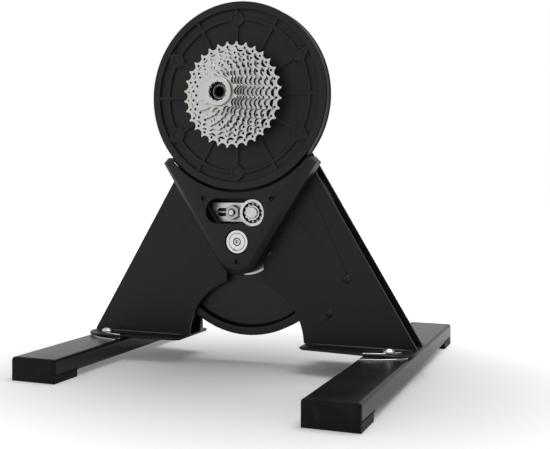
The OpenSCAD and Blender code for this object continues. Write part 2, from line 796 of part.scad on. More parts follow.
// Polished washers bent round the pivot, one under each lock bolt
module lock_washers() {
    color("#d8d8d8") for (foot = [[1, front_pivot_y], [-1, rear_pivot_y]], end = [-1, 1])
        translate([foot[0] * pivot_x, foot[1], base_top_z]) linear_extrude(lock_washer_t) difference() {
            intersection() {
                circle(lock_reach + lock_washer_w / 2);
                polygon(concat([[0, 0]], [for (a = lock_washer_spread)
                    2 * lock_reach * [foot[0] * cos(a), end * sin(a)]]));
            }
            circle(lock_washer_in_r);
            translate(lock_reach * [foot[0] * cos(lock_angle), end * sin(lock_angle)]) circle(lock_r);
        }
}

module lock_bolts() {
    color("#e0e0e0") at_lock_bolts() translate([lock_reach, 0, 0]) {
        translate([0, 0, base_z]) cylinder(h = base_t + lock_washer_t, r = lock_r);
        translate([0, 0, base_top_z + lock_washer_t]) dome_head(8, 5);
    }
}

module tensioner_arm() {
    color("#c8c8c8") difference() {
        slab(arm_front_y, arm_back_y) difference() {
            union() {
                translate([idler_x, idler_z]) circle(arm_h / 2);
                translate([arm_left_x, idler_z - arm_h / 2]) square([idler_x - arm_left_x, arm_h]);
            }
            stadium(slot_left_x, slot_right_x, idler_z, slot_half_h);
            translate([idler_x, idler_z]) circle(idler_stud_r);
        }
        translate([arm_left_x - overlap, arm_mid_y, idler_z]) rotate([0, 90, 0])
            cylinder(h = slot_left_x - arm_left_x + 6, r = adjuster_r);
    }
}

// Screw through the arm's left end that pushes on the clamp stud to tighten the belt
module adjuster_screw() {
    color("#8c8c8c") translate([arm_left_x - 3, arm_mid_y, idler_z]) rotate([0, 90, 0]) {
        cylinder(h = clamp_x - clamp_r - clearance - arm_left_x + 3, r = adjuster_r);
        cylinder(h = 3, r = adjuster_r + 0.4, $fn = 6);
    }
}

module idler_stud() {
    color("#d0d0d0") {
        rod(idler_stud_r, idler_front_y - 1.5, arm_back_y, idler_x, idler_z);
        rod(idler_stud_r + 1.2, idler_front_y - 2.5, idler_front_y, idler_x, idler_z);
        tube(idler_stud_r + 2.2, idler_stud_r, idler_back_y, arm_front_y, idler_x, idler_z);
    }
}

// Ring of the idler bearing with its ball track cut in
module bearing_ring(r_out, r_in) {
    difference() {
        tube(r_out, r_in, idler_front_y, idler_back_y, idler_x, idler_z);
        translate([idler_x, (idler_front_y + idler_back_y) / 2, idler_z]) rotate([90, 0, 0])
            rotate_extrude() translate([idler_track_r, 0]) circle(idler_ball_r + running);
    }
}

module idler_inner_race() { color("#bcbcbc") bearing_ring(idler_inner_r, idler_stud_r); }

module idler_outer_race() { color("#cccccc") bearing_ring(idler_r, idler_outer_in_r); }

module idler_balls() {
    color("#e6e6e6") for (i = [0 : idler_ball_count - 1])
        translate([
            idler_x + idler_track_r * cos(i * 360 / idler_ball_count),
            (idler_front_y + idler_back_y) / 2,
            idler_z + idler_track_r * sin(i * 360 / idler_ball_count)
        ]) sphere(idler_ball_r);
}

// Flywheel profile by radius and depth: lip, recessed web, heavy rim and hub
module flywheel() {
    lip_in = flywheel_r - flywheel_lip;
    edge = 1;
    color("#2a2a2a") translate([0, flywheel_front_y, shaft_z]) rotate([-90, 0, 0]) difference() {
        rotate_extrude() polygon([
            [shaft_r, flywheel_recess], [lip_in - 2, flywheel_recess], [lip_in, 0], [flywheel_r - edge, 0],
            [flywheel_r, edge], [flywheel_r, flywheel_back_y - flywheel_front_y - edge],
            [flywheel_r - edge, flywheel_back_y - flywheel_front_y],
            [flywheel_rim_in_r, flywheel_back_y - flywheel_front_y],
            [flywheel_rim_in_r, flywheel_recess + flywheel_web_t],
            [flywheel_hub_r, flywheel_recess + flywheel_web_t],
            [flywheel_hub_r, flywheel_recess + flywheel_web_t + 7],
            [shaft_r, flywheel_recess + flywheel_web_t + 7]
        ]);
    }
}

module flywheel_shaft() {
    color("#a8a8a8") rod(shaft_r, shaft_front_y, shaft_back_y, 0, shaft_z);
}

// Retaining ring that keeps the shaft in its rear bearing
module shaft_ring() {
    color("#6a6a6a") tube(shaft_r + 3, shaft_r, rear_bearing_y + shaft_bearing_w + 0.2, shaft_back_y - 0.3,
        0, shaft_z);
}

module small_pulley() {
    guide_r = small_seat_r + 1.8;
    color("#b0b0b0") difference() {
        union() {
            rod(small_seat_r, shaft_front_y, belt_back_y + 1.2, 0, shaft_z);
            rod(guide_r, belt_back_y + 0.2, belt_back_y + 1.2, 0, shaft_z);
        }
        rod(shaft_r, shaft_front_y - overlap, belt_back_y + 1.2 + overlap, 0, shaft_z);
    }
}

module pulley_cap() {
    color("#d6d6d6") difference() {
        rod(14.8, cap_front_y, shaft_front_y, 0, shaft_z);
        tube(11.2, 10.5, cap_front_y - overlap, cap_front_y + 0.6, 0, shaft_z);
        rod(5.2, cap_front_y - overlap, shaft_front_y + overlap, 0, shaft_z);
        translate([-3.4, cap_front_y - overlap, shaft_z - 10.4]) rotate([0, 25, 0])
            translate([-2.1, 0, -0.7]) cube([4.2, overlap + 1.6, 1.4]);
    }
}

module cap_screw() {
    color("#bdbdbd") difference() {
        rod(4.1, cap_front_y + 0.3, shaft_front_y, 0, shaft_z);
        hex_along_y(4, cap_front_y, cap_front_y + 2, 0, shaft_z);
    }
}

module big_pulley() {
    color("#242424") difference() {
        union() {
            tube(pulley_seat_r, rim_in_r, pulley_front_y + pulley_flange_t, pulley_back_y, 0, axle_z);
            tube(pulley_r, rim_in_r, pulley_front_y, pulley_front_y + pulley_flange_t, 0, axle_z);
            tube(pulley_r, rim_in_r, belt_back_y + 0.2, pulley_back_y, 0, axle_z);
            rod(rim_in_r + 1, pulley_web_y, pulley_web_y + pulley_web_t, 0, axle_z);
            tube(ring_rib_r + rib_w / 2, ring_rib_r - rib_w / 2, rib_top_y, pulley_web_y + overlap,
                0, axle_z);
            rod(hub_r, pulley_front_y, pulley_back_y, 0, axle_z);
            for (i = [0 : pulley_ribs - 1])
                translate([0, 0, axle_z]) rotate([0, i * 360 / pulley_ribs, 0])
                    translate([-rib_w / 2, rib_top_y, hub_r - 2])
                        cube([rib_w, pulley_web_y - rib_top_y + overlap, rim_in_r - hub_r + 3]);
            for (i = [0 : 2 : pulley_ribs - 1])
                rod(boss_r, rib_top_y, pulley_web_y + overlap, ring_rib_r * sin(i * 360 / pulley_ribs),
                    axle_z + ring_rib_r * cos(i * 360 / pulley_ribs));
        }
        rod(hub_bearing_r, pulley_front_y - overlap, pulley_back_y + overlap, 0, axle_z);
        for (i = [0 : 2 : pulley_ribs - 1])
            rod(boss_recess_r, rib_top_y - overlap, rib_top_y + 1.2,
                ring_rib_r * sin(i * 360 / pulley_ribs), axle_z + ring_rib_r * cos(i * 360 / pulley_ribs));
    }
}

// Hub shell bolted to the big pulley, with the freewheel ratchet inside
module hub_shell() {
    color("#1e1e1e") difference() {
        union() {
            rod(hub_r, pulley_front_y - 4, pulley_front_y, 0, axle_z);
            rod(24, hub_shell_end_y, pulley_front_y - 4, 0, axle_z);
        }
        rod(11.5, hub_shell_end_y - overlap, pulley_front_y + overlap, 0, axle_z);
    }
}

module hub_bearings() {
    color("#777777") for (y = [pulley_front_y, pulley_back_y - hub_bearing_w])
        tube(hub_bearing_r, axle_r + running, y, y + hub_bearing_w, 0, axle_z);
}

module freehub_body() {
    color("#9c9c9c") difference() {
        union() {
            rod(freehub_r, freehub_front_y, cassette_y + sprocket_t, 0, axle_z);
            rod(freehub_shoulder_r, cassette_y + sprocket_t / 2 + clearance, hub_shell_end_y - ratchet_gap,
                0, axle_z);
        }
        rod(freehub_bore_r, freehub_front_y - overlap, hub_shell_end_y + overlap, 0, axle_z);
    }
}

module freehub_bearings() {
    color("#151515") for (y = [axle_drive_y + 2, hub_shell_end_y + 1 - freehub_bearing_w])
        tube(freehub_bore_r, axle_r + running, y, min(y + freehub_bearing_w, hub_shell_end_y - ratchet_gap),
            0, axle_z);
}

// One sprocket: toothed ring on five arms, or a plain toothed disc where it is small
module sprocket(n, y) {
    hole_reach = pitch_r(n) - 5;
    window_out = pitch_r(n) - 8.2;
    arm_w = 7;
    slab(y - sprocket_t / 2, y + sprocket_t / 2) translate([0, axle_z]) {
        difference() {
            polygon(tooth_points(n));
            circle(max(window_out, sprocket_bore_r));
            if (n >= 20)
                for (i = [0 : n - 1])
                    translate(hole_reach * [cos((i + 0.5) * 360 / n), sin((i + 0.5) * 360 / n)]) circle(1.55);
        }
        if (window_out > sprocket_bore_r) difference() {
            union() {
                circle(collar_r);
                for (i = [0 : 4]) rotate(i * 72 + 18) translate([0, -arm_w / 2])
                    square([window_out + 1, arm_w]);
            }
            circle(sprocket_bore_r);
        }
    }
}

module sprocket_set(first, last) {
    for (i = [first : last]) sprocket(teeth[i], cassette_y - i * sprocket_pitch);
}

module large_sprockets() { color("#c6c6c6") sprocket_set(0, 3); }

module middle_sprockets() { color("#c6c6c6") sprocket_set(4, 6); }

module small_sprockets() { color("#c6c6c6") sprocket_set(7, len(teeth) - 1); }

module sprocket_spacers() {
    color("#a9a9a9") for (i = [0 : len(teeth) - 2])
        tube(min(collar_r, pitch_r(teeth[i + 1]) - root_depth - 1.6), sprocket_bore_r,
            cassette_y - (i + 1) * sprocket_pitch + sprocket_t / 2,
            cassette_y - i * sprocket_pitch - sprocket_t / 2, 0, axle_z);
}

module lockring() {
    notches = 12;
    color("#cfcfcf") difference() {
        tube(freehub_r, lockring_bore_r, freehub_front_y - lockring_t, freehub_front_y, 0, axle_z);
        for (i = [0 : notches - 1])
            rod(0.8, freehub_front_y - lockring_t - overlap, freehub_front_y - 1,
                lockring_bore_r * cos(i * 360 / notches), axle_z + lockring_bore_r * sin(i * 360 / notches));
    }
}

// Hollow foot tube along Y
module foot_bar(x, pivot_y, y_mid, len) {
    y0 = y_mid - len / 2 + foot_cap_t;
    y1 = y_mid + len / 2 - foot_cap_t;
    color("#232323") difference() {
        slab(y0, y1) translate([x - foot_w / 2, foot_pad_h]) round_rect(foot_w, foot_tube_h, foot_edge_r);
        slab(y0 - overlap, y1 + overlap) translate([x - foot_w / 2 + foot_wall, foot_pad_h + foot_wall])
            round_rect(foot_w - 2 * foot_wall, foot_tube_h - 2 * foot_wall, foot_edge_r - foot_wall);
        translate([sign(x) * pivot_x, pivot_y, pivot_low_z - running])
            cylinder(h = foot_top_z - pivot_low_z + running + overlap, r = pivot_r * 1.6 + running);
    }
}

// Rubber end cap: a face over the tube's end, a plug inside it, and a pad that hugs its lower edges
module foot_cap(x, y_end, inward) {
    fit = foot_wall + 0.1;
    plug_y = y_end + inward * (foot_cap_t + foot_plug_len);
    face_y = y_end + inward * foot_cap_t;
    pad_y = y_end + inward * foot_pad_len;
    slab(min(y_end, face_y), max(y_end, face_y)) union() {
        translate([x - foot_w / 2, foot_pad_h]) round_rect(foot_w, foot_tube_h, foot_edge_r);
        translate([x - foot_w / 2, 0]) square([foot_w, foot_pad_h + foot_edge_r]);
    }
    slab(min(face_y, plug_y), max(face_y, plug_y)) translate([x - foot_w / 2 + fit, foot_pad_h + fit])
        round_rect(foot_w - 2 * fit, foot_tube_h - 2 * fit, foot_edge_r - foot_wall);
    slab(min(face_y, pad_y), max(face_y, pad_y)) translate([x - foot_w / 2, 0]) difference() {
        square([foot_w, foot_pad_h + foot_edge_r - 1.4]);
        translate([0, foot_pad_h]) round_rect(foot_w, foot_tube_h, foot_edge_r);
    }
}

module foot_caps(x, y_mid, len) {
    color("#191919") {
        foot_cap(x, y_mid - len / 2, 1);
        foot_cap(x, y_mid + len / 2, -1);
    }
}

// Round wear pad on top of a foot, cut to the flat of the tube
module swivel_pad(x, pivot_y) {
    flat_w = foot_w - 2 * foot_edge_r;
    color("#2f2f2f") translate([0, 0, foot_top_z]) linear_extrude(swivel_pad_t) difference() {
        intersection() {
            translate([sign(x) * pivot_x, pivot_y]) circle(swivel_pad_r);
            translate([x - flat_w / 2, pivot_y - swivel_pad_r]) square([flat_w, 2 * swivel_pad_r]);
        }
        translate([sign(x) * pivot_x, pivot_y]) circle(pivot_r + running);
    }
}

module front_foot_bar() { foot_bar(foot_x, front_pivot_y, 0, front_foot_len); }

module front_foot_caps() { foot_caps(foot_x, 0, front_foot_len); }

module front_swivel_pad() { swivel_pad(foot_x, front_pivot_y); }

module rear_foot_bar() { foot_bar(-foot_x, rear_pivot_y, rear_foot_y, rear_foot_len); }

module rear_foot_caps() { foot_caps(-foot_x, rear_foot_y, rear_foot_len); }

module rear_swivel_pad() { swivel_pad(-foot_x, rear_pivot_y); }

front_plate();
back_plate();
front_base_plate();
rear_base_plate();
frame_spacers();
frame_bolts();
frame_bolt_nuts();
belt_cover();
cover_screws();
hub_axle();
axle_spacers();
axle_nut();
axle_end_sleeve();
front_bearing_carrier();
rear_bearing_carrier();
carrier_bolts();
shaft_bearings();
brake_plate();
brake_coils();
control_box();
control_box_lid();
control_board();
power_inlet();
lid_screws();
belt();
tensioner_pad();
clamp_stud();
clamp_nut();
pivot_bolts();
pivot_nuts();
lock_washers();
lock_bolts();
tensioner_arm();
adjuster_screw();
idler_stud();
idler_inner_race();
idler_balls();
idler_outer_race();
flywheel();
flywheel_shaft();
shaft_ring();
small_pulley();
pulley_cap();
cap_screw();
big_pulley();
hub_shell();
hub_bearings();
freehub_body();
freehub_bearings();
large_sprockets();
middle_sprockets();
small_sprockets();
sprocket_spacers();
lockring();
front_foot_bar();
front_foot_caps();
front_swivel_pad();
rear_foot_bar();
rear_foot_caps();
rear_swivel_pad();
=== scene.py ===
import json
from math import acos, cos, pi, radians, sin
import bpy
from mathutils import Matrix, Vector

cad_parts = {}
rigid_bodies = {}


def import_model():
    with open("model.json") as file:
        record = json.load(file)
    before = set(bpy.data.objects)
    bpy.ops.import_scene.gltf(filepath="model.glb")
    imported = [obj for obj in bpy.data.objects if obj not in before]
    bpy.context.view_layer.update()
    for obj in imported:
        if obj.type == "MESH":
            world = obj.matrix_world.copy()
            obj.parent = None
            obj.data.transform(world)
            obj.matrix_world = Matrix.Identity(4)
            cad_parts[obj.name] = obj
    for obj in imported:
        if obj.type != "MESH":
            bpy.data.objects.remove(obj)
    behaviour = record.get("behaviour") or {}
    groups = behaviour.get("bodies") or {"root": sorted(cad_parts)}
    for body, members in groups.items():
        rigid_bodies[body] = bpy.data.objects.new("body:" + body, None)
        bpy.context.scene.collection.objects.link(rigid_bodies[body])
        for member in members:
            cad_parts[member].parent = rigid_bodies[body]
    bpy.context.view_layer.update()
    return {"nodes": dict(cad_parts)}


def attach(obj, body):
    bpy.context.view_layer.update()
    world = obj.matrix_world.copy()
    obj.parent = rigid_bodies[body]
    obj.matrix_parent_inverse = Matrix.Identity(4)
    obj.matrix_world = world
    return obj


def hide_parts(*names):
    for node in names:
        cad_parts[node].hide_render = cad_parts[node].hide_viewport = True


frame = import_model()

# Lengths here are millimetres of the trainer, turned into metres where they are used
MM = 0.001

# Centres of the axles as X and Z, and of the feet's pivots as X and Y
HUB = (0.0, 347.5)
SHAFT = (0.0, 162.0)
STUD = (-12.0, 199.0)
ADJUSTER = (-3.7, 199.0)
FRONT_PIVOT = (167.0, 14.7)
REAR_PIVOT = (-167.0, 22.3)

# Distances from the pulley's axle over which its turned rim begins, and past which painted
# shade fills its groove
PULLEY_RIM = (109.8, 110.6)
GROOVE_FLOOR = (113.0, 114.0)

# Places along Y of the belt's near side, and of the pulley's groove in front of it, both
# made dark with painted shade
FLANGE_BACK = (-26.8, -26.4)
GROOVE_END = (-19.6, -19.2)
BELT_SHADED_SIDE = (-19.6, -19.0)

# Distances from the shaft over which the flywheel's and the carrier's finish change, with painted
# shade in the flywheel's groove and on the carrier inside its rim, and the flywheel's rim painted
# lighter as if lit
FLYWHEEL_GROOVE = (109.5, 111.0)
FLYWHEEL_RIM = (113.9, 114.5)
CARRIER_RIM = (41.5, 42.8)

# The ring darkened round the stud, and the painted highlight on the edge of the hub axle
RING_INSIDE = (3.0, 3.3)
RING_OUTSIDE = (4.7, 5.1)
AXLE_EDGE_HIGHLIGHT = (7.7, 8.0)

# Heights over which the ribs under the feet fade out
TREAD_TOP = (0.4, 2.4)

# Radii about a foot's pivot of the rims painted bright as highlights, and half the width of each
PAD_HIGHLIGHT_RADII = ((66.9, 56.8), 1.0)
WASHER_HIGHLIGHT_RADII = ((39.9, 53.0), 1.2)


def body_with(node):
    """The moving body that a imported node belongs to."""
    holder = frame["nodes"][node].parent
    return holder.name.split(":")[1]


# Shader maths


class Signal:
    """A number that changes over a surface."""

    def __init__(self, web, socket):
        self.web = web
        self.socket = socket

    def maths(self, operation, *others):
        values = dict(enumerate((self, *others)))
        return self.web.node("ShaderNodeMath", {"operation": operation}, values)

    def __add__(self, other):
        return self.maths("ADD", other)

    def __sub__(self, other):
        return self.maths("SUBTRACT", other)

    def __mul__(self, other):
        return self.maths("MULTIPLY", other)

    def __pow__(self, other):
        return self.maths("POWER", other)

    def __rsub__(self, other):
        return self.web.node("ShaderNodeMath", {"operation": "SUBTRACT"}, {0: other, 1: self})

    __radd__ = __add__
    __rmul__ = __mul__

    def clamped(self, low, high):
        """0 below low, 1 above high, and a smooth step between them."""
        settings = {"interpolation_type": "SMOOTHSTEP"}
        return self.web.node("ShaderNodeMapRange", settings, {0: self, 1: low, 2: high})

    def past(self, limits):
        """A length in metres, clamped between two limits in millimetres."""
        low, high = limits
        return self.clamped(low * MM, high * MM)

    def waves(self, rate):
        """A length turned into waves from 0 to 1, at rate radians to the metre."""
        return (self * rate).maths("SINE") * 0.5 + 0.5


class Web:
    """The nodes of one finish, of the floor or of the world."""

    def __init__(self, tree):
        self.tree = tree
        self.tree.nodes.clear()

    def node(self, kind, settings=None, values=None, output=0):
        """A new node, with settings and input values, and the signal from one output."""
        made = self.tree.nodes.new(kind)
        for name, value in (settings or {}).items():
            setattr(made, name, value)
        for name, value in (values or {}).items():
            self.fill(made.inputs[name], value)
        return Signal(self, made.outputs[output]) if made.outputs else None

    def fill(self, socket, value):
        if isinstance(value, Signal):
            self.tree.links.new(value.socket, socket)
        elif isinstance(value, tuple) and len(value) == 3 and socket.type == "RGBA":
            socket.default_value = (*value, 1.0)
        else:
            socket.default_value = value

    def place(self):
        return self.node("ShaderNodeTexCoord", output="Object")

    def along(self, axis):
        return self.node("ShaderNodeSeparateXYZ", None, {0: self.place()}, output=axis)

    def from_axis(self, centre):
        """Distance in metres from an axle that runs along Y."""
        across = self.along("X") - centre[0] * MM
        up = self.along("Z") - centre[1] * MM
        return (across * across + up * up) ** 0.5

    def grain(self, size, detail=3.0, roughness=0.55, place=None):
        """Noise from 0 to 1 whose lumps are about size millimetres wide."""
        values = {
            "Vector": place or self.place(), "Scale": 1.0 / (size * MM),
            "Detail": detail, "Roughness": roughness,
        }
        return self.node("ShaderNodeTexNoise", None, values)

    def rings(self, centre, size):
        """Noise that changes only with the distance from an axle, as a lathe leaves it."""
        distance = self.node("ShaderNodeCombineXYZ", None, {0: self.from_axis(centre)})
        return self.grain(size, 3.0, 0.6, distance)

    def brushed(self, squeeze):
        """The place on the part, squeezed along X for marks that run that way."""
        settings = {"operation": "MULTIPLY"}
        values = {0: self.place(), 1: (squeeze, 1.0, 1.0)}
        return self.node("ShaderNodeVectorMath", settings, values)

    def cells(self, scale):
        return self.node("ShaderNodeTexVoronoi", None, {"Vector": self.place(), "Scale": scale})

    def blend(self, low, high, amount):
        """A mix of two colours, which are inputs 6 and 7 and output 2 of the node."""
        settings = {"data_type": "RGBA"}
        return self.node("ShaderNodeMix", settings, {0: amount, 6: low, 7: high}, output=2)

    def relief(self, height, distance, strength):
        values = {"Height": height, "Distance": distance * MM, "Strength": strength}
        return self.node("ShaderNodeBump", None, values)


def finish(name, constants, recipe):
    """A material: constants on the shader's own sockets, and what recipe varies."""
    made = bpy.data.materials.new(name)
    made.use_nodes = True
    web = Web(made.node_tree)
    values = dict(constants)
    values.update(recipe(web))
    skin = web.node("ShaderNodeBsdfPrincipled", None, values)
    web.node("ShaderNodeOutputMaterial", None, {"Surface": skin})
    return made


def metal(name, recipe):
    return finish(name, {"Metallic": 1.0}, recipe)


def coated(name, recipe, level):
    return finish(name, {"Metallic": 0.0, "Specular IOR Level": level}, recipe)


# Finishes


def powder_coat(web):
    """Black powder coat with a fine orange peel and a little dust."""
    peel = web.grain(1.6, 2.0)
    cloud = web.grain(55.0, 3.0)
    dust = web.grain(0.5, 2.0).clamped(0.66, 0.74)
    patches = cloud.clamped(0.35, 0.65)
    tone = web.blend((0.0052, 0.0053, 0.0056), (0.0085, 0.0085, 0.0088), patches)
    return {
        "Base Color": web.blend(tone, (0.05, 0.05, 0.05), dust * 0.12),
        "Roughness": 0.36 + 0.12 * cloud + 0.06 * peel,
        "Normal": web.relief(peel, 0.05, 0.5),
    }


def tube_coat(web):
    """The smoother and shinier coat of the feet's tubes."""
    peel = web.grain(1.3, 2.0)
    cloud = web.grain(40.0, 3.0)
    patches = cloud.clamped(0.35, 0.65)
    return {
        "Base Color": web.blend((0.0055, 0.0055, 0.0058), (0.0095, 0.0095, 0.0098), patches),
        "Roughness": 0.22 + 0.10 * cloud + 0.05 * peel,
        "Normal": web.relief(peel, 0.05, 0.5),
    }


def moulded_plastic(web):
    """Black plastic with a leather grain, rubbed smooth in places."""
    leather = web.cells(1500.0)
    cloud = web.grain(30.0, 3.0)
    rub = web.grain(6.0, 4.0, 0.65).clamped(0.58, 0.74)
    return {
        "Base Color": web.blend((0.0075, 0.0075, 0.0078), (0.014, 0.014, 0.0143), rub),
        "Roughness": 0.42 + 0.10 * cloud,
        "Normal": web.relief(leather + 0.4 * web.grain(0.4), 0.035, 0.45),
    }


def pulley_casting(web):
    """A sand casting with a turned rim, and painted shade, near black and without shine, in the
    groove between its flange and the belt.
    """
    distance = web.from_axis(HUB)
    sand = web.grain(0.9, 4.0, 0.6)
    turned = distance.waves(9000.0)
    rim = distance.past(PULLEY_RIM)
    patch = web.grain(18.0, 3.0)
    behind_flange = web.along("Y").past(FLANGE_BACK)
    before_belt = 1.0 - web.along("Y").past(GROOVE_END)
    # Painted shade: the groove between the flange and the belt is made near black and without shine
    groove = behind_flange * before_belt * distance.past(GROOVE_FLOOR)
    tone = web.blend((0.0075, 0.0075, 0.0077), (0.013, 0.013, 0.0133), patch)
    return {
        "Base Color": web.blend(tone, (0.0005, 0.0005, 0.0005), groove),
        "Metallic": groove,
        "Roughness": 0.40 + 0.16 * patch - 0.06 * rim + 0.4 * groove,
        "Normal": web.relief(sand * (1.0 - rim) + turned * rim * 0.35, 0.09, 0.5),
    }


def painted_corner_shade(web, tone, reach):
    """The tone, darkened in corners of about that reach in millimetres: painted shade."""
    values = {"Distance": reach * MM}
    open_air = web.node("ShaderNodeAmbientOcclusion", {"samples": 6}, values, output="AO")
    return web.blend((0.03, 0.03, 0.03), tone, open_air.clamped(0.2, 0.85))


def turned_steel(centre, bright, dull, pitch, rough, corner_shade_reach):
    """Bare metal faced on a lathe, with rings about an axle and painted shade in its corners."""

    def recipe(web):
        rings = web.rings(centre, pitch)
        stain = web.grain(7.0, 4.0, 0.6)
        oil = web.grain(1.1, 3.0).clamped(0.60, 0.75)
        # Painted shade darkens the corners
        tone = painted_corner_shade(web, web.blend(dull, bright, 0.55 * rings + 0.45 * stain), corner_shade_reach)
        return {
            "Base Color": web.blend(tone, tuple(0.55 * part for part in dull), oil * 0.35),
            "Roughness": rough + 0.14 * rings + 0.10 * oil,
            "Normal": web.relief(rings, 0.03, 0.35),
        }

    return recipe


def carrier_alloy(web):
    """Turned alloy whose flange is bright at its rim and darkened by painted shade inside it."""
    rim = web.from_axis(SHAFT).past(CARRIER_RIM)
    stain = web.grain(5.0, 3.0)
    # Painted shade: the flange is darker inside its rim
    tone = web.blend((0.14, 0.14, 0.145), (0.62, 0.62, 0.63), 0.12 * stain + 0.88 * rim)
    return {
        # Painted shade darkens the corners
        "Base Color": painted_corner_shade(web, tone, 2.0),
        "Roughness": 0.26 + 0.12 * stain,
        "Normal": web.relief(stain, 0.02, 0.2),
    }


def nut_steel(web):
    """Dull plated steel, darker in a ring about the stud."""
    about = web.from_axis(STUD)
    ring = about.past(RING_INSIDE) * (1.0 - about.past(RING_OUTSIDE))
    spangle = web.grain(2.5, 3.0)
    tone = web.blend((0.30, 0.30, 0.305), (0.44, 0.44, 0.445), spangle)
    return {
        # Painted shade darkens the corners
        "Base Color": web.blend(painted_corner_shade(web, tone, 3.0), (0.015, 0.015, 0.015), ring),
        "Roughness": 0.24 + 0.12 * spangle,
        "Normal": web.relief(spangle, 0.02, 0.2),
    }


def zinc_plate(web):
    """Bright plated steel with soft spangles and fine scratches."""
    spangle = web.grain(2.5, 3.0)
    scratch = web.grain(0.9, 2.0, 0.5, web.brushed(0.06))
    tone = web.blend((0.46, 0.46, 0.47), (0.64, 0.64, 0.65), spangle.clamped(0.3, 0.7))
    return {
        # Painted shade darkens the corners
        "Base Color": painted_corner_shade(web, tone, 3.0),
        "Roughness": 0.20 + 0.10 * spangle + 0.06 * scratch,
        "Normal": web.relief(scratch, 0.02, 0.25),
    }


def highlight_rims(radii, half_width):
    """Blackened steel whose turned rims, at radii about the nearer foot pivot, are painted bright
    as highlights.
    """

    def recipe(web):
        across = web.along("X").maths("ABSOLUTE") - FRONT_PIVOT[0] * MM
        forward = web.along("X").maths("GREATER_THAN", 0.0)
        step = (REAR_PIVOT[1] - FRONT_PIVOT[1]) * MM
        back = web.along("Y") - REAR_PIVOT[1] * MM + forward * step
        reach = (across * across + back * back) ** 0.5
        # Painted highlights: bright bands at the rims' radii
        rims = 0.0
        for radius in radii:
            off = (reach - radius * MM).maths("ABSOLUTE")
            rims = 1.0 - off.past((0.6 * half_width, half_width)) + rims
        rims = rims.maths("MINIMUM", 1.0)
        rub = web.grain(1.5, 3.0)
        return {
            "Base Color": web.blend((0.02, 0.02, 0.021), (0.80, 0.80, 0.81), rims),
            "Roughness": 0.24 + 0.12 * rub,
            "Normal": web.relief(rub, 0.02, 0.2),
        }

    return recipe


def axle_steel(web):
    """Dark steel with a painted highlight on its outer edge."""
    bloom = web.grain(3.0, 3.0)
    # Painted highlight: the outer edge is made lighter
    edge = web.from_axis(HUB).past(AXLE_EDGE_HIGHLIGHT)
    tone = web.blend((0.03, 0.03, 0.031), (0.055, 0.055, 0.056), bloom)
    return {
        "Base Color": web.blend(tone, (0.30, 0.30, 0.305), edge),
        "Roughness": 0.30 + 0.14 * bloom,
        "Normal": web.relief(bloom, 0.02, 0.3),
    }


def brushed_arm(web):
    """Bright steel brushed along the tensioner arm."""
    marks = web.grain(0.7, 3.0, 0.6, web.brushed(0.04))
    stain = web.grain(5.0, 3.0)
    tone = web.blend((0.44, 0.44, 0.45), (0.69, 0.69, 0.70), 0.6 * marks + 0.4 * stain)
    return {
        # Painted shade darkens the corners
        "Base Color": painted_corner_shade(web, tone, 3.0),
        "Roughness": 0.26 + 0.16 * marks,
        "Normal": web.relief(marks, 0.03, 0.4),
    }


def black_oxide(web):
    """Blackened steel, worn lighter in small spots."""
    bloom = web.grain(3.0, 3.0)
    worn = web.grain(0.8, 3.0).clamped(0.62, 0.75)
    return {
        "Base Color": web.blend((0.022, 0.022, 0.024), (0.12, 0.12, 0.125), worn * 0.6),
        "Roughness": 0.32 + 0.14 * bloom,
        "Normal": web.relief(bloom, 0.02, 0.3),
    }


def flywheel_coat(web):
    """Black paint over turned rings, with painted shade darkening the groove inside the rim, and
    the rim painted lighter as if lit.
    """
    distance = web.from_axis(SHAFT)
    rings = web.rings(SHAFT, 0.9)
    cloud = web.grain(25.0, 3.0)
    rim = distance.past(FLYWHEEL_RIM)
    # Painted shade: the groove inside the rim is made near black with little shine
    groove = distance.past(FLYWHEEL_GROOVE) * (1.0 - rim)
    # Painted highlight: the rim is made lighter than the face inside it
    tone = web.blend((0.0035, 0.0035, 0.0037), (0.009, 0.009, 0.0094), 0.4 * cloud + 0.6 * rim)
    return {
        "Base Color": web.blend(tone, (0.001, 0.001, 0.001), groove),
        "Metallic": 0.8 * groove,
        "Roughness": 0.34 + 0.14 * rings + 0.06 * cloud,
        "Normal": web.relief(rings, 0.03, 0.3),
    }


def belt_rubber(web):
    """Dusty black rubber with a weave across it, and painted shade that makes its near side black.
    """
    weave = web.along("Y").waves(5200.0)
    dust = web.grain(1.2, 3.0).clamped(0.55, 0.75)
    # Painted shade: the belt's near side is made black and without shine
    side = 1.0 - web.along("Y").past(BELT_SHADED_SIDE)
    tone = web.blend((0.016, 0.016, 0.016), (0.034, 0.034, 0.034), dust * 0.6)
    return {
        "Base Color": web.blend(tone, (0.001, 0.001, 0.001), side),
        "Metallic": side,
        "Roughness": 0.55 + 0.15 * dust,
        "Normal": web.relief(0.5 * weave + 0.5 * web.grain(0.4), 0.05, 0.5),
    }


def foot_rubber(web):
    """Pebbled rubber with ribs across the side that stands on the floor."""
    pebble = web.cells(900.0)
    tread = (web.along("Y") * 1570.0).maths("SINE").clamped(0.6, 0.95)
    under = 1.0 - web.along("Z").past(TREAD_TOP)
    dust = web.grain(14.0, 4.0).clamped(0.5, 0.75)
    return {
        "Base Color": web.blend((0.0065, 0.0065, 0.0067), (0.017, 0.017, 0.0172), dust),
        "Roughness": 0.50 + 0.16 * dust,
        "Normal": web.relief(pebble * 0.25 + tread * under * 3.0, 0.06, 0.6),
    }


def enamelled_copper(web):
    """Copper wire wound in turns along Y."""
    turns = web.along("Y").waves(9800.0)
    shade = web.grain(3.0, 2.0)
    return {
        "Base Color": web.blend((0.30, 0.085, 0.03), (0.62, 0.23, 0.10), 0.7 * turns + 0.3 * shade),
        "Roughness": 0.26 + 0.16 * shade,
        "Normal": web.relief(turns, 0.12, 0.8),
    }


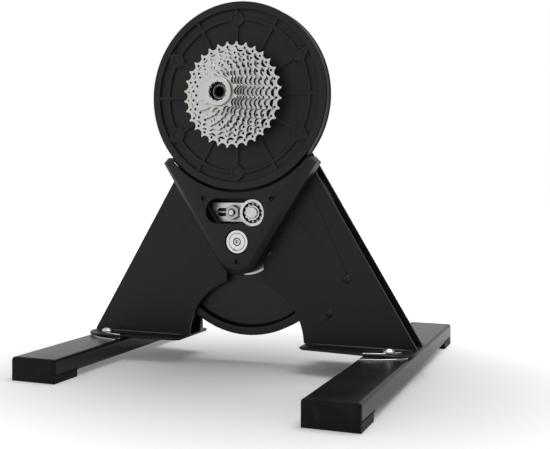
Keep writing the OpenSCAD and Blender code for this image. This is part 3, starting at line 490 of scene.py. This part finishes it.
def circuit_board(web):
    """Green board with traces that run along X in some patches and up in the others."""

    def lines(axis):
        return (web.along(axis) * 1250.0).maths("SINE").clamped(0.90, 0.97)

    patch = web.grain(9.0, 1.0).clamped(0.48, 0.52)
    traces = lines("X") * patch + lines("Z") * (1.0 - patch)
    return {
        "Base Color": web.blend((0.008, 0.085, 0.035), (0.05, 0.24, 0.10), traces),
        "Roughness": 0.34 + 0.10 * web.grain(2.0),
        "Normal": web.relief(traces, 0.04, 0.5),
    }


def weld_coat(web):
    """The coat over the weld beads, with their spatter."""
    spatter = web.grain(1.2, 3.0)
    return {
        "Base Color": web.blend((0.03, 0.03, 0.031), (0.06, 0.06, 0.061), spatter),
        "Roughness": 0.30 + 0.10 * spatter,
        "Normal": web.relief(spatter, 0.08, 0.5),
    }


plate_black = coated("powder_coat_black", powder_coat, 0.26)
tube_black = coated("tube_coat_black", tube_coat, 0.24)
cover_black = coated("moulded_cover_black", moulded_plastic, 0.28)
pulley_black = coated("pulley_casting_black", pulley_casting, 0.26)
flywheel_black = coated("flywheel_coat_black", flywheel_coat, 0.34)
belt_black = coated("belt_rubber_black", belt_rubber, 0.25)
rubber_black = coated("foot_rubber_black", foot_rubber, 0.12)
board_green = coated("circuit_board_green", circuit_board, 0.5)
oxide_black = finish("black_oxide_steel", {"Metallic": 0.75}, black_oxide)
copper_wire = metal("enamelled_copper_wire", enamelled_copper)
zinc_bright = metal("zinc_bright_steel", zinc_plate)
arm_bright = metal("brushed_arm_steel", brushed_arm)
axle_grey = metal("axle_steel_grey", axle_steel)
carrier_bright = metal("carrier_alloy_turned", carrier_alloy)
nut_dull = metal("nut_steel_dull", nut_steel)
pad_highlights = metal("pad_rims_bright", highlight_rims(*PAD_HIGHLIGHT_RADII))
washer_highlights = metal("washer_rims_bright", highlight_rims(*WASHER_HIGHLIGHT_RADII))
sprocket_bright = metal("sprocket_steel_turned", turned_steel(
    HUB, (0.64, 0.635, 0.615), (0.41, 0.407, 0.395), pitch=0.7, rough=0.28, corner_shade_reach=4.0))
hub_alloy = metal("hub_alloy_turned", turned_steel(
    HUB, (0.62, 0.62, 0.63), (0.42, 0.42, 0.43), pitch=0.5, rough=0.20, corner_shade_reach=2.0))
shaft_alloy = metal("shaft_alloy_turned", turned_steel(
    SHAFT, (0.62, 0.62, 0.63), (0.46, 0.46, 0.47), pitch=0.5, rough=0.24, corner_shade_reach=2.0))
cap_alloy = metal("cap_alloy_turned", turned_steel(
    SHAFT, (0.69, 0.69, 0.70), (0.55, 0.55, 0.56), pitch=0.5, rough=0.22, corner_shade_reach=1.5))
weld_black = coated("weld_coat_black", weld_coat, 0.5)

FINISHES = {
    plate_black: ("front_plate", "back_plate", "front_base_plate", "rear_base_plate"),
    tube_black: ("front_foot_bar", "rear_foot_bar"),
    cover_black: (
        "belt_cover", "control_box", "control_box_lid", "power_inlet", "axle_end_sleeve",
    ),
    pulley_black: ("big_pulley", "hub_shell"),
    flywheel_black: ("flywheel",),
    belt_black: ("belt",),
    rubber_black: ("front_foot_caps", "rear_foot_caps"),
    board_green: ("control_board",),
    copper_wire: ("brake_coils",),
    axle_grey: ("hub_axle",),
    pad_highlights: ("front_swivel_pad", "rear_swivel_pad"),
    washer_highlights: ("lock_washers",),
    arm_bright: ("tensioner_arm",),
    sprocket_bright: ("large_sprockets", "middle_sprockets", "small_sprockets"),
    hub_alloy: ("axle_spacers", "freehub_body", "lockring", "sprocket_spacers"),
    shaft_alloy: ("rear_bearing_carrier", "small_pulley"),
    carrier_bright: ("front_bearing_carrier",),
    nut_dull: ("clamp_nut",),
    cap_alloy: ("pulley_cap",),
    zinc_bright: (
        "adjuster_screw", "axle_nut", "cap_screw", "clamp_stud", "flywheel_shaft",
        "hub_bearings", "idler_balls", "idler_inner_race", "idler_outer_race", "idler_stud",
        "lock_bolts", "shaft_bearings",
    ),
    oxide_black: (
        "brake_plate", "carrier_bolts", "cover_screws", "frame_bolt_nuts", "frame_bolts",
        "frame_spacers", "freehub_bearings", "lid_screws", "pivot_bolts", "pivot_nuts",
        "shaft_ring", "tensioner_pad",
    ),
}

# Width in millimetres of the worn or rounded edge that catches the light
EDGES = {
    "front_plate": 0.45, "back_plate": 0.45, "front_base_plate": 0.45, "rear_base_plate": 0.45,
    "belt_cover": 0.5, "control_box": 0.6, "control_box_lid": 0.5, "big_pulley": 0.3,
    "flywheel": 0.5, "front_foot_caps": 0.9, "rear_foot_caps": 0.9, "tensioner_arm": 0.35,
    "lockring": 0.25, "pulley_cap": 0.3, "front_bearing_carrier": 0.35,
    "rear_bearing_carrier": 0.35, "large_sprockets": 0.12, "middle_sprockets": 0.12,
    "small_sprockets": 0.12, "clamp_nut": 0.35, "axle_nut": 0.4, "front_foot_bar": 0.25,
    "rear_foot_bar": 0.25, "front_swivel_pad": 0.2, "rear_swivel_pad": 0.2,
    "lock_washers": 0.2, "cap_screw": 0.2, "hub_shell": 0.3, "axle_end_sleeve": 0.4,
    "idler_stud": 0.3, "brake_plate": 0.3,
}

# Points closer than this in metres become one, and edges sharper than these angles in
# degrees are chamfered or stay hard
SAME_POINT = 0.00002
CHAMFER_ANGLE = 40
CREASE_ANGLE = 32


def soften(thing, width):
    """Small chamfers on the sharp edges, if width isn't 0, and smooth curved faces."""
    weld = thing.modifiers.new("weld", "WELD")
    weld.merge_threshold = SAME_POINT
    if width:
        chamfer = thing.modifiers.new("edge", "BEVEL")
        chamfer.width = width * MM
        chamfer.segments = 1
        chamfer.limit_method = "ANGLE"
        chamfer.angle_limit = radians(CHAMFER_ANGLE)
        chamfer.use_clamp_overlap = False
    crease = thing.modifiers.new("crease", "EDGE_SPLIT")
    crease.split_angle = radians(CREASE_ANGLE)


for surface, nodes in FINISHES.items():
    for node in nodes:
        thing = frame["nodes"][node]
        for holder in thing.material_slots:
            holder.material = surface
        normals = thing.data.attributes.get("custom_normal")
        if normals:
            thing.data.attributes.remove(normals)
        thing.data.shade_smooth()
        soften(thing, EDGES.get(node, 0.0))


# Pieces


def make(name, points, faces, surface, body):
    """A piece from points in millimetres."""
    mesh = bpy.data.meshes.new(name)
    mesh.from_pydata([tuple(value * MM for value in point) for point in points], [], faces)
    mesh.validate()
    mesh.shade_smooth()
    mesh.materials.append(surface)
    piece = bpy.data.objects.new(name, mesh)
    bpy.context.scene.collection.objects.link(piece)
    soften(piece, 0.0)
    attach(piece, body)
    return piece


def rings_to_faces(rings, around, closed_path):
    """Quads between rings of points, each with around points."""
    faces = []
    last = rings if closed_path else rings - 1
    for ring in range(last):
        following = (ring + 1) % rings
        for index in range(around):
            beside = (index + 1) % around
            faces.append((
                ring * around + index, ring * around + beside,
                following * around + beside, following * around + index,
            ))
    return faces


def belt_route(inner_big, inner_small, steps_big, steps_small):
    """Points and outward directions of a belt round the two pulleys."""
    gap = HUB[1] - SHAFT[1]
    lean = acos((inner_big - inner_small) / gap)
    route = []
    for step in range(steps_big + 1):
        angle = -pi / 2 + lean + (2 * pi - 2 * lean) * step / steps_big
        route.append((inner_big, HUB, angle))
    for step in range(steps_small + 1):
        angle = -pi / 2 - lean + 2 * lean * step / steps_small
        route.append((inner_small, SHAFT, angle))
    spots = []
    for radius, centre, angle in route:
        out = (cos(angle), sin(angle))
        spots.append(((centre[0] + radius * out[0], centre[1] + radius * out[1]), out))
    return spots


def ribbed_belt():
    """The belt with its ribs on the inside, in place of the plain one."""
    near, far, thick, ribs = -19.8, -6.8, 3.0, 6
    corner = 0.5
    rib_foot, rib_side = 0.2, 0.72
    valley, crest = 1.5, 0.05
    pitch = (far - near) / ribs
    section = [(near + corner, thick), (near, thick - corner)]
    for rib in range(ribs):
        start = near + rib * pitch
        section.append((start + rib_foot, valley))
        section.append((start + rib_side, crest))
        section.append((start + pitch - rib_side, crest))
        section.append((start + pitch - rib_foot, valley))
    section += [(far, thick - corner), (far - corner, thick)]
    points = []
    route = belt_route(inner_big=115.0, inner_small=12.5, steps_big=96, steps_small=16)
    for (x, z), (out_x, out_z) in route:
        for y, height in section:
            points.append((x + height * out_x, y, z + height * out_z))
    faces = rings_to_faces(len(route), len(section), True)
    belt = make("belt_ribbed", points, faces, belt_black, body_with("belt"))
    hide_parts("belt")


def weld_bead(name, start, end, y, side, base):
    """A rippled fillet where a plate stands on its base plate."""
    spacing, leg, sink, hollow = 0.9, 1.1, 0.2, 0.28
    around = 7
    length = end - start
    rings = int(length / spacing)
    points = []
    for ring in range(rings + 1):
        share = ring / rings
        # Two waves that don't repeat together, and ends that taper off
        ripple = 1.0 + 0.10 * sin(ring * 2.1) + 0.05 * sin(ring * 0.7)
        ease = min(1.0, 6.0 * share + 0.15, 6.0 * (1.0 - share) + 0.15)
        reach = leg * ripple * ease
        bow = 0.25 * sin(ring * 1.05)
        points.append((start + length * share, y - sink * side, base - sink))
        for index in range(around - 1):
            turn = (pi / 2) * index / (around - 2)
            scoop = 1.0 - hollow * sin(2 * turn)
            across = y + side * reach * cos(turn) * scoop
            up = base + reach * sin(turn) * scoop
            points.append((start + length * share + bow, across, up))
    faces = rings_to_faces(rings + 1, around, False)
    faces.append(tuple(range(around)))
    faces.append(tuple(reversed(range(rings * around, (rings + 1) * around))))
    make(name, points, faces, weld_black, "stand")


def thread(name, start, end, radius, pitch, screw, along, centre):
    """A V thread raised on a screw that runs along one axis through centre."""
    per_turn = 20
    turns = (end - start) / pitch
    steps = int(turns * per_turn)
    crest, root = radius + 0.02, radius - 0.35 * pitch
    # Half the width of the thread at its root and at its crest, in pitches
    wide, narrow = 0.48, 0.06
    profile = ((-wide, root), (-narrow, crest), (narrow, crest), (wide, root))
    points = []
    for step in range(steps + 1):
        angle = 2 * pi * step / per_turn
        mid = start + pitch * step / per_turn
        for offset, reach in profile:
            way = min(max(mid + offset * pitch, start), end)
            first, second = reach * cos(angle), reach * sin(angle)
            if along == "X":
                points.append((way, centre[0] + first, centre[1] + second))
            else:
                points.append((centre[0] + first, way, centre[1] + second))
    corners = len(profile)
    faces = rings_to_faces(steps + 1, corners, False)
    faces.append(tuple(range(corners)))
    faces.append(tuple(steps * corners + index for index in reversed(range(corners))))
    make(name, points, faces, zinc_bright, body_with(screw))


# The outer faces of the plates along Y, the top of the base plates, and the ends of each
# weld along X
NEAR_FACE, FAR_FACE, BASE_TOP = 0.5, 36.5, 33.3
WELDS = {"front": (84.0, 222.0), "rear": (-222.0, -84.0)}

ribbed_belt()
for label, (low, high) in WELDS.items():
    weld_bead("weld_" + label + "_near", low, high, NEAR_FACE, -1, BASE_TOP)
    weld_bead("weld_" + label + "_far", low, high, FAR_FACE, 1, BASE_TOP)
thread("adjuster_thread", start=-46.0, end=-17.5, radius=2.0, pitch=0.8,
       screw="adjuster_screw", along="X", centre=ADJUSTER)
thread("clamp_thread", start=-17.1, end=-11.8, radius=3.3, pitch=0.9,
       screw="clamp_stud", along="Y", centre=STUD)

# Floor and lights, in metres

FLOOR_HALF = 9.0

# The painted shadow on the floor: its middle, how much it is squeezed along Y, and the
# distances over which it fades to white
SHADOW_MIDDLE = (0.07, -0.05)
SHADOW_SQUEEZE = 1.2
SHADOW_FADE = (0.10, 0.80)


def seen_by_eye_or_mirror(web):
    """1 for what the eye sees, less for what shines back, and 0 for light on the part."""
    rays = ("Is Camera Ray", "Is Glossy Ray", "Is Transmission Ray")
    straight, mirrored, through = [web.node("ShaderNodeLightPath", output=ray) for ray in rays]
    return (straight.maths("MAXIMUM", through)).maths("MAXIMUM", 0.72 * mirrored)


def floor_and_backdrop():
    """A pale floor with a painted shadow about the trainer, glowing as white as the sky farther
    off.
    """
    half = FLOOR_HALF
    corners = [(-half, -half, 0), (half, -half, 0), (half, half, 0), (-half, half, 0)]
    mesh = bpy.data.meshes.new("floor")
    mesh.from_pydata(corners, [], [(0, 1, 2, 3)])
    floor = bpy.data.objects.new("floor", mesh)
    bpy.context.scene.collection.objects.link(floor)
    surface = bpy.data.materials.new("studio_floor")
    surface.use_nodes = True
    web = Web(surface.node_tree)
    seen = seen_by_eye_or_mirror(web)
    across = web.along("X") - SHADOW_MIDDLE[0]
    back = (web.along("Y") - SHADOW_MIDDLE[1]) * SHADOW_SQUEEZE
    away = (across * across + back * back) ** 0.5
    # Painted shadow: the floor glows less near the trainer
    glow = 0.06 + 0.96 * away.clamped(*SHADOW_FADE)
    paper = web.node("ShaderNodeBsdfDiffuse", None, {"Color": (0.74, 0.74, 0.74)})
    light = web.node("ShaderNodeEmission", None, {"Strength": glow * seen})
    both = web.node("ShaderNodeAddShader", None, {0: paper, 1: light})
    web.node("ShaderNodeOutputMaterial", None, {"Surface": both})
    mesh.materials.append(surface)


def studio_world():
    """A white sky, weaker as a light than as a background, and weaker still to the right."""
    world = bpy.data.worlds.new("studio")
    bpy.context.scene.world = world
    world.use_nodes = True
    web = Web(world.node_tree)
    seen = seen_by_eye_or_mirror(web)
    direction = web.node("ShaderNodeTexCoord", output="Generated")
    heading = web.node("ShaderNodeSeparateXYZ", None, {0: direction}, output="X")
    shade = 1.0 - 0.42 * heading.clamped(0.05, 0.35)
    eye = web.node("ShaderNodeLightPath", output="Is Camera Ray")
    strength = ((0.32 + 0.68 * seen) * shade).maths("MAXIMUM", eye)
    sky = web.node("ShaderNodeBackground", None, {"Color": (1, 1, 1), "Strength": strength})
    web.node("ShaderNodeOutputWorld", None, {"Surface": sky})


def lamp(name, place, aim, size, power):
    """A rectangular lamp that faces aim."""
    light = bpy.data.lights.new(name, "AREA")
    light.shape = "RECTANGLE"
    light.size, light.size_y = size
    light.energy = power
    holder = bpy.data.objects.new(name, light)
    holder.location = place
    holder.rotation_euler = (Vector(aim) - Vector(place)).to_track_quat("-Z", "Y").to_euler()
    bpy.context.scene.collection.objects.link(holder)


def camera():
    """The eye as solved from the straight edges of the frame and feet."""
    lens = bpy.data.cameras.new("camera")
    lens.lens = 56.26
    lens.sensor_width = 36.0
    lens.sensor_fit = "HORIZONTAL"
    lens.shift_x = 0.0024
    lens.shift_y = -0.0444
    holder = bpy.data.objects.new("camera", lens)
    holder.location = (0.4387, -1.02745, 0.2352)
    holder.rotation_euler = (radians(90 - 1.05), 0.0, radians(21.19))
    bpy.context.scene.collection.objects.link(holder)
    bpy.context.scene.camera = holder


floor_and_backdrop()
studio_world()
lamp("top_light", place=(0.5, 0.2, 2.0), aim=(0.0, 0.0, 0.2), size=(1.5, 1.5), power=26.0)
lamp("right_light", place=(2.2, -0.5, 1.0), aim=(0.0, 0.0, 0.2), size=(1.2, 1.6), power=5.0)
lamp("left_light", place=(-1.6, -1.6, 1.2), aim=(0.0, 0.0, 0.25), size=(2.6, 2.6), power=6.0)
camera()
bpy.context.scene.view_settings.view_transform = "Standard"
